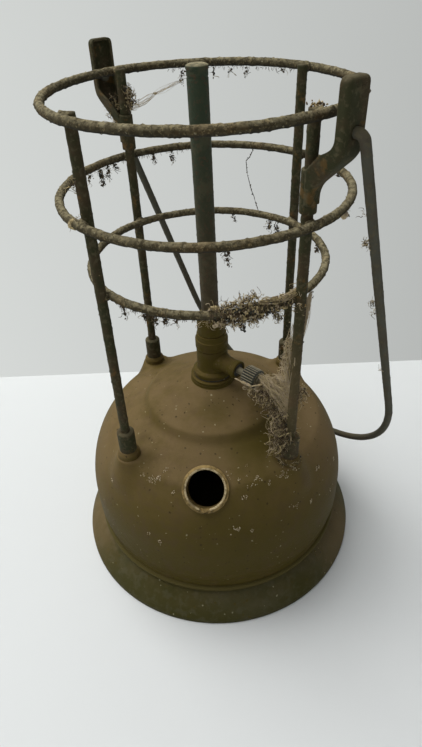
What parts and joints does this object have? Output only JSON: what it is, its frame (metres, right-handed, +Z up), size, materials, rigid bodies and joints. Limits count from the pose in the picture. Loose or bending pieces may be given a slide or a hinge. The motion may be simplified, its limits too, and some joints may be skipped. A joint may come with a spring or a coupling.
{
  "type": "kerosene heater",
  "caption": "Old pressure kerosene heater: domed fuel tank on a flared foot, control cock and vaporiser tube, wire guard cage and a swinging bail handle.",
  "frame": {"origin": "centre of the circle that the foot stands on, in the plane of the floor", "axes": "+Z up along the column; -Y towards the filler; the posts stand at 45 degrees to X and Y, and the bail's pivot line runs from the front right post to the rear left one"},
  "size_m": [0.2042, 0.2042, 0.3009],
  "materials": {
    "tank_paint": "old matt khaki paint, dusty",
    "skirt_paint": "old matt grey-green paint, dusty",
    "cage_paint": "dark worn paint over steel",
    "ring_wire": "bare wire, rusted and dusty",
    "vaporiser_paint": "dark heat-stained metal",
    "bare_brass": "dull, paint worn off",
    "dull_metal": "dull and dusty",
    "inner_metal": "plain",
    "seal": "matt"
  },
  "bodies": {
    "stand": {"bail_lug_front_right": "cage_paint", "bail_lug_rear_left": "cage_paint", "boss_seal": "seal", "bottom_ring": "ring_wire", "cock_body": "tank_paint", "crown_boss": "tank_paint", "filler_neck": "bare_brass", "fuel_filter": "inner_metal", "gland_nut": "dull_metal", "gland_packing": "seal", "jet_cap": "dull_metal", "lead_washer": "inner_metal", "middle_ring": "ring_wire", "post_flange_front_left": "tank_paint", "post_flange_front_right": "tank_paint", "post_flange_rear_left": "tank_paint", "post_flange_rear_right": "tank_paint", "post_front_left": "cage_paint", "post_front_right": "cage_paint", "post_rear_left": "cage_paint", "post_rear_right": "cage_paint", "post_socket_front_left": "tank_paint", "post_socket_front_right": "tank_paint", "post_socket_rear_left": "tank_paint", "post_socket_rear_right": "tank_paint", "riser_tube": "inner_metal", "tank_dome": "tank_paint", "tank_floor": "skirt_paint", "tank_skirt": "skirt_paint", "top_ring": "ring_wire", "union_nut": "tank_paint", "vaporiser_neck": "tank_paint", "vaporiser_tube": "vaporiser_paint"},
    "bail": {"bail_handle": "cage_paint"},
    "knob": {"cock_spindle": "dull_metal", "control_knob": "dull_metal", "knob_screw": "dull_metal"},
    "pricker": {"pricker_rod": "inner_metal"}
  },
  "joints": [
    {"name": "bail_swing", "type": "hinge", "parent": "stand", "child": "bail", "pos_m": [0, 0, 0.28281], "axis": [0.7071, -0.7071, 0], "range_deg": [0, 320.65]},
    {"name": "cock_turn", "type": "hinge", "parent": "stand", "child": "knob", "pos_m": [0, 0, 0.1387], "axis": [0.7837, -0.6211, 0], "range_deg": [0, 180]},
    {"name": "pricker_lift", "type": "slide", "parent": "stand", "child": "pricker", "axis": [0, 0, 1], "range_m": [0, 0.0016]}
  ],
  "couplings": [
    {"joint": "pricker_lift", "follows": "cock_turn", "m_per_rad": 0.0005}
  ]
}
